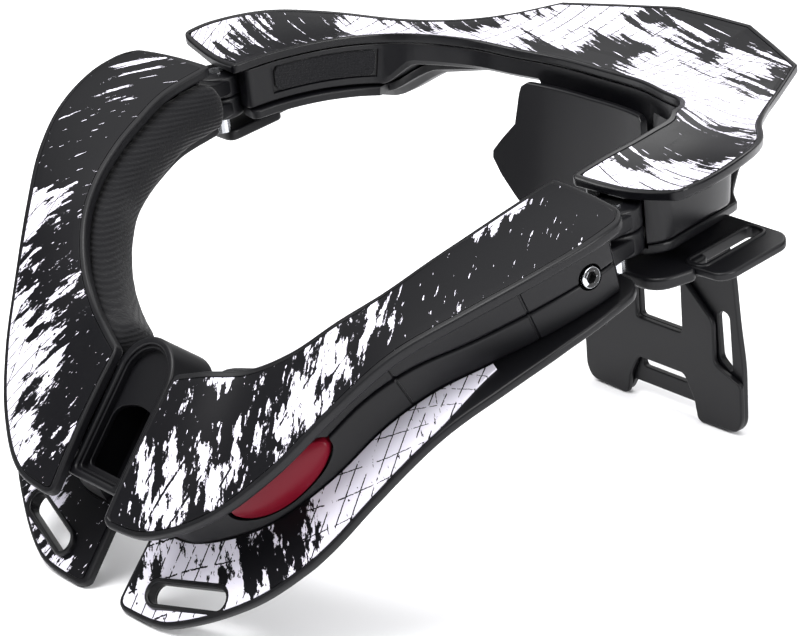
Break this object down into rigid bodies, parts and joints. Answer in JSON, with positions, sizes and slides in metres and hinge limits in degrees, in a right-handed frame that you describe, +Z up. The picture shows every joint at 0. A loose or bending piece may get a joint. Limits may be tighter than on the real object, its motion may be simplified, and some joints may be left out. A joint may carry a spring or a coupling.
{
  "type": "motocross neck brace",
  "caption": "Rigid neck brace: a winged rear collar on a two-footed strut, and two hinged front arms with foot plates that meet at a push-button latch.",
  "frame": {"origin": "middle of the brace's plan, on the floor that its two rear feet and two front plates stand on", "axes": "-Y towards the closure under the chin, +X to the wearer's left, +Z up"},
  "size_m": [0.292, 0.3132, 0.1621],
  "materials": {
    "satin_black": "fibre-filled nylon, satin moulded",
    "gloss_black": "nylon, polished mould",
    "print": "white inlay with a black print",
    "foam": "ribbed fabric over moulded foam",
    "loop_fabric": "woven loop tape",
    "button_red": "dark red, fine satin",
    "steel": "turned steel"
  },
  "bodies": {
    "rear": {"rear_table": "satin_black", "rear_print": "print", "rear_body": "gloss_black", "rear_foot": "satin_black", "back_pad": "satin_black", "back_strut": "satin_black", "strut_layer": "satin_black", "left_hinge_pin": "steel", "right_hinge_pin": "steel", "left_loop_patch": "loop_fabric", "right_loop_patch": "loop_fabric"},
    "left_arm": {"left_arm_table": "satin_black", "left_arm_print": "print", "left_arm_upper_shell": "satin_black", "left_arm_lower_shell": "satin_black", "left_arm_foot": "satin_black", "left_foot_print": "print", "left_arm_pad": "foam", "left_arm_bolt": "steel", "latch_tongue": "satin_black"},
    "right_arm": {"right_arm_table": "satin_black", "right_arm_print": "print", "right_arm_upper_shell": "satin_black", "right_arm_lower_shell": "satin_black", "right_arm_foot": "satin_black", "right_foot_print": "print", "right_arm_pad": "foam", "right_arm_bolt": "steel", "latch_housing": "satin_black"},
    "button": {"release_button": "button_red"}
  },
  "joints": [
    {"name": "left_arm_hinge", "type": "hinge", "parent": "rear", "child": "left_arm", "pos_m": [0.11098, -0.00733, 0.12819], "axis": [0, -0.1392, 0.9903], "range_deg": [0, 40]},
    {"name": "right_arm_hinge", "type": "hinge", "parent": "rear", "child": "right_arm", "pos_m": [-0.11098, -0.00733, 0.12819], "axis": [0, 0.1392, -0.9903], "range_deg": [0, 40]},
    {"name": "button_press", "type": "slide", "parent": "left_arm", "child": "button", "axis": [-0.2979, 0.8724, 0.3875], "range_m": [0, 0.0025], "stiffness_N_per_m": 1500}
  ]
}
